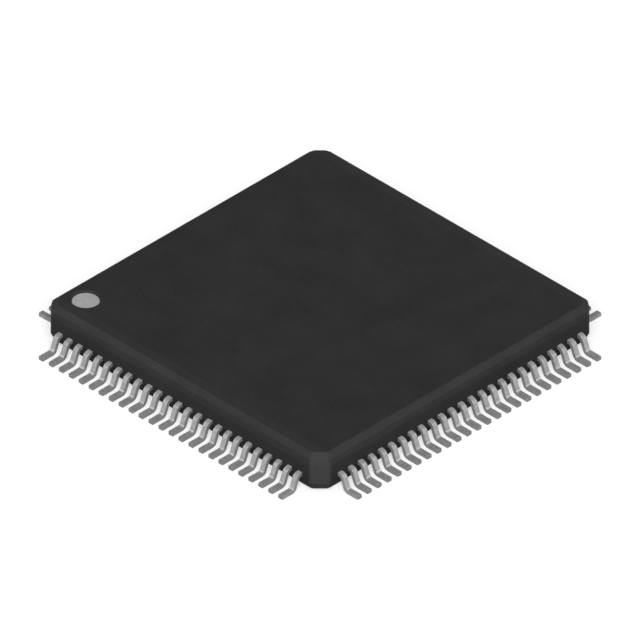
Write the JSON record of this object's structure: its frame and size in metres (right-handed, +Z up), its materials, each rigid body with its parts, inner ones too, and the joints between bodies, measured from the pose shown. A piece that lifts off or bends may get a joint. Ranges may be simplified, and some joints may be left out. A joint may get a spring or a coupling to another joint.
{
  "type": "quad flat package integrated circuit",
  "caption": "Square, low moulded chip package with gull-wing leads along every side, clipped corners and a sunken round mark at pin one; it is soldered flat to a circuit board.",
  "frame": {"origin": "centre of the package outline on the seating plane, the plane of the undersides of the leads' feet", "axes": "+Z up out of the top face; the pin-one mark is in the -X, -Y corner; pins are counted from it along the -Y side and on anticlockwise, seen from above"},
  "size_m": [0.016, 0.016, 0.0016],
  "materials": {
    "mould_compound": "matt charcoal epoxy moulding compound with a fine grain",
    "marking_ink": "flat light-grey ink",
    "tinned_lead": "satin tin plating on copper alloy",
    "frame_copper": "bare rolled copper alloy",
    "silver_epoxy": "cured silver-filled epoxy",
    "silicon": "polished silicon",
    "gold_wire": "drawn gold wire"
  },
  "bodies": {
    "root": {"mould_body": "mould_compound", "pin_one_mark": "marking_ink", "die_paddle": "frame_copper", "die_attach": "silver_epoxy", "silicon_die": "silicon", "leads_01_26_51_76": "tinned_lead", "leads_02_27_52_77": "tinned_lead", "leads_03_28_53_78": "tinned_lead", "leads_04_29_54_79": "tinned_lead", "leads_05_30_55_80": "tinned_lead", "leads_06_31_56_81": "tinned_lead", "leads_07_32_57_82": "tinned_lead", "leads_08_33_58_83": "tinned_lead", "leads_09_34_59_84": "tinned_lead", "leads_10_35_60_85": "tinned_lead", "leads_11_36_61_86": "tinned_lead", "leads_12_37_62_87": "tinned_lead", "leads_13_38_63_88": "tinned_lead", "leads_14_39_64_89": "tinned_lead", "leads_15_40_65_90": "tinned_lead", "leads_16_41_66_91": "tinned_lead", "leads_17_42_67_92": "tinned_lead", "leads_18_43_68_93": "tinned_lead", "leads_19_44_69_94": "tinned_lead", "leads_20_45_70_95": "tinned_lead", "leads_21_46_71_96": "tinned_lead", "leads_22_47_72_97": "tinned_lead", "leads_23_48_73_98": "tinned_lead", "leads_24_49_74_99": "tinned_lead", "leads_25_50_75_100": "tinned_lead", "bond_wires_01_26_51_76": "gold_wire", "bond_wires_02_27_52_77": "gold_wire", "bond_wires_03_28_53_78": "gold_wire", "bond_wires_04_29_54_79": "gold_wire", "bond_wires_05_30_55_80": "gold_wire", "bond_wires_06_31_56_81": "gold_wire", "bond_wires_07_32_57_82": "gold_wire", "bond_wires_08_33_58_83": "gold_wire", "bond_wires_09_34_59_84": "gold_wire", "bond_wires_10_35_60_85": "gold_wire", "bond_wires_11_36_61_86": "gold_wire", "bond_wires_12_37_62_87": "gold_wire", "bond_wires_13_38_63_88": "gold_wire", "bond_wires_14_39_64_89": "gold_wire", "bond_wires_15_40_65_90": "gold_wire", "bond_wires_16_41_66_91": "gold_wire", "bond_wires_17_42_67_92": "gold_wire", "bond_wires_18_43_68_93": "gold_wire", "bond_wires_19_44_69_94": "gold_wire", "bond_wires_20_45_70_95": "gold_wire", "bond_wires_21_46_71_96": "gold_wire", "bond_wires_22_47_72_97": "gold_wire", "bond_wires_23_48_73_98": "gold_wire", "bond_wires_24_49_74_99": "gold_wire", "bond_wires_25_50_75_100": "gold_wire"}
  },
  "joints": []
}
